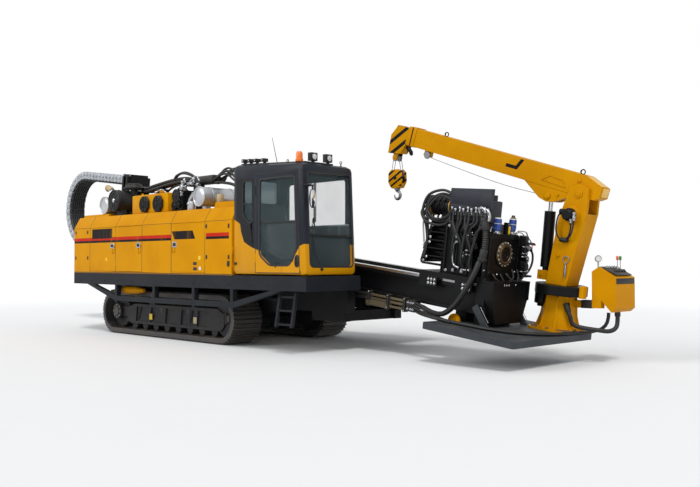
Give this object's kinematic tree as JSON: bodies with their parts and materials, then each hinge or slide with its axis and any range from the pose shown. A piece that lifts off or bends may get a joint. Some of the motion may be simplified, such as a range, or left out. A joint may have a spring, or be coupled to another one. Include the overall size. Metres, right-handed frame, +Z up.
{
  "type": "horizontal directional drill",
  "caption": "Tracked horizontal directional drill with engine housing, cab, tilting drill mast, power head, vise, anchor plate and loader crane.",
  "frame": {"origin": "middle of the machine's length and width, on the ground under the tracks", "axes": "+X forward along the drill mast, towards the anchor plate; +Z up; the cab is on the -Y side"},
  "size_m": [13.719, 3.2, 3.587],
  "materials": {
    "yellow": "satin",
    "frame_grey": "satin",
    "cab_grey": "satin",
    "black_steel": "satin",
    "chain_grey": "satin",
    "silver": "satin",
    "blue": "satin",
    "bronze": "satin",
    "glass": "gloss",
    "orange": "gloss",
    "green": "gloss",
    "steel": "satin",
    "chrome": "polished",
    "seat": "matte"
  },
  "bodies": {
    "chassis": {"chassis_frame": "frame_grey", "track_near": "steel", "track_far": "steel", "track_frame_near": "frame_grey", "track_frame_far": "frame_grey", "engine_housing": "yellow", "cab_shell": "cab_grey", "cab_glass_quarter": "glass", "cab_glass_far": "glass", "cab_glass_front": "glass", "cab_seat": "seat", "roof_lamps": "black_steel", "beacon": "orange", "ladder": "frame_grey", "fuel_tank": "yellow", "hydraulic_tank": "yellow", "air_cleaner": "black_steel", "muffler_rear": "silver", "muffler_front": "silver", "hood_box": "yellow", "engine_block": "black_steel"},
    "cab_door": {"cab_door": "cab_grey", "cab_door_glass": "glass"},
    "engine_door_rear": {"engine_door_rear": "yellow"},
    "engine_door_middle": {"engine_door_middle": "yellow"},
    "engine_door_front": {"engine_door_front": "yellow"},
    "mast": {"mast_beam": "black_steel", "mast_rail_near": "silver", "mast_rail_far": "silver", "energy_chain": "chain_grey", "chain_bracket": "black_steel", "vise_block": "black_steel", "vise_ring": "bronze", "vise_motor_near": "blue", "vise_motor_far": "blue", "anchor_plate": "black_steel", "crane_base": "yellow", "slew_guard": "black_steel", "console": "yellow", "feed_pipes": "bronze", "plate_hose": "black_steel"},
    "lift_barrel": {"lift_barrel": "black_steel"},
    "lift_rod": {"lift_rod": "chrome"},
    "carriage": {"carriage_frame": "black_steel", "drive_motor_near": "black_steel", "drive_motor_far": "black_steel", "head_cover": "cab_grey"},
    "spindle": {"spindle": "steel"},
    "wrench": {"wrench": "steel"},
    "crane_column": {"crane_column": "yellow"},
    "boom": {"boom_outer": "yellow"},
    "telescope": {"boom_inner": "yellow"},
    "hook": {"hook_block": "yellow"},
    "luff_barrel": {"luff_barrel": "black_steel"},
    "luff_rod": {"luff_rod": "chrome"},
    "lever_orange": {"lever_orange": "orange"},
    "lever_green": {"lever_green": "green"}
  },
  "joints": [
    {"name": "cab_door_hinge", "type": "hinge", "parent": "chassis", "child": "cab_door", "pos_m": [2.165, -1.6, 1.9], "axis": [0, 0, -1], "range_deg": [0, 110]},
    {"name": "engine_door_rear_hinge", "type": "hinge", "parent": "chassis", "child": "engine_door_rear", "pos_m": [-2.988, -1.6, 1.6], "axis": [0, 0, -1], "range_deg": [0, 110]},
    {"name": "engine_door_middle_hinge", "type": "hinge", "parent": "chassis", "child": "engine_door_middle", "pos_m": [-2.008, -1.6, 1.6], "axis": [0, 0, -1], "range_deg": [0, 110]},
    {"name": "engine_door_front_hinge", "type": "hinge", "parent": "chassis", "child": "engine_door_front", "pos_m": [0.848, -1.6, 1.6], "axis": [0, 0, 1], "range_deg": [0, 110]},
    {"name": "mast_tilt", "type": "hinge", "parent": "chassis", "child": "mast", "pos_m": [2.86, 0, 0.85], "axis": [0, 1, 0], "range_deg": [-5, 4]},
    {"name": "lift_swing", "type": "hinge", "parent": "chassis", "child": "lift_barrel", "pos_m": [-0.5, 0, 0.72], "axis": [0, 1, 0], "range_deg": [-7.5, 9.5]},
    {"name": "lift_stroke", "type": "slide", "parent": "lift_barrel", "child": "lift_rod", "axis": [0.9262, 0, 0.3771], "range_m": [-0.1, 0.1]},
    {"name": "carriage_feed", "type": "slide", "parent": "mast", "child": "carriage", "axis": [-0.9925, 0, 0.1219], "range_m": [0, 6]},
    {"name": "spindle_spin", "type": "hinge", "parent": "carriage", "child": "spindle", "pos_m": [2.9754, 0, 1.7899], "axis": [0.9925, 0, -0.1219], "continuous": true},
    {"name": "wrench_turn", "type": "hinge", "parent": "mast", "child": "wrench", "pos_m": [5.4639, 0, 1.4844], "axis": [0.9925, 0, -0.1219], "range_deg": [-25, 25]},
    {"name": "crane_slew", "type": "hinge", "parent": "mast", "child": "crane_column", "pos_m": [6.0007, 0.64, 0.4341], "axis": [-0.1219, 0, -0.9925], "range_deg": [-15, 180]},
    {"name": "boom_luff", "type": "hinge", "parent": "crane_column", "child": "boom", "pos_m": [6.4383, 0.64, 2.2745], "axis": [0, -1, 0], "range_deg": [-42, 5]},
    {"name": "luff_swing", "type": "hinge", "parent": "crane_column", "child": "luff_barrel", "pos_m": [5.813, 0.64, 1.199], "axis": [0, -1, 0], "range_deg": [-4, 1]},
    {"name": "luff_stroke", "type": "slide", "parent": "luff_barrel", "child": "luff_rod", "axis": [0.1027, 0, 0.9947], "range_m": [-0.05, 0.4]},
    {"name": "boom_extend", "type": "slide", "parent": "boom", "child": "telescope", "axis": [-0.9511, 0, 0.309], "range_m": [0, 1.2]},
    {"name": "hook_hang", "type": "hinge", "parent": "telescope", "child": "hook", "pos_m": [3.0485, 0.64, 3.071], "axis": [0, -1, 0], "range_deg": [-10, 60]},
    {"name": "lever_orange_tilt", "type": "hinge", "parent": "mast", "child": "lever_orange", "pos_m": [6.74, 0.95, 1.2703], "axis": [0, 1, 0], "range_deg": [-15, 15]},
    {"name": "lever_green_tilt", "type": "hinge", "parent": "mast", "child": "lever_green", "pos_m": [6.74, 1.03, 1.2703], "axis": [0, 1, 0], "range_deg": [-15, 15]}
  ],
  "couplings": [
    {"joint": "lift_swing", "follows": "mast_tilt", "ratio": -1.725},
    {"joint": "lift_stroke", "follows": "mast_tilt", "m_per_rad": 1.081},
    {"joint": "luff_swing", "follows": "boom_luff", "ratio": 0.08},
    {"joint": "luff_stroke", "follows": "boom_luff", "m_per_rad": -0.494},
    {"joint": "hook_hang", "follows": "boom_luff", "ratio": -1}
  ]
}
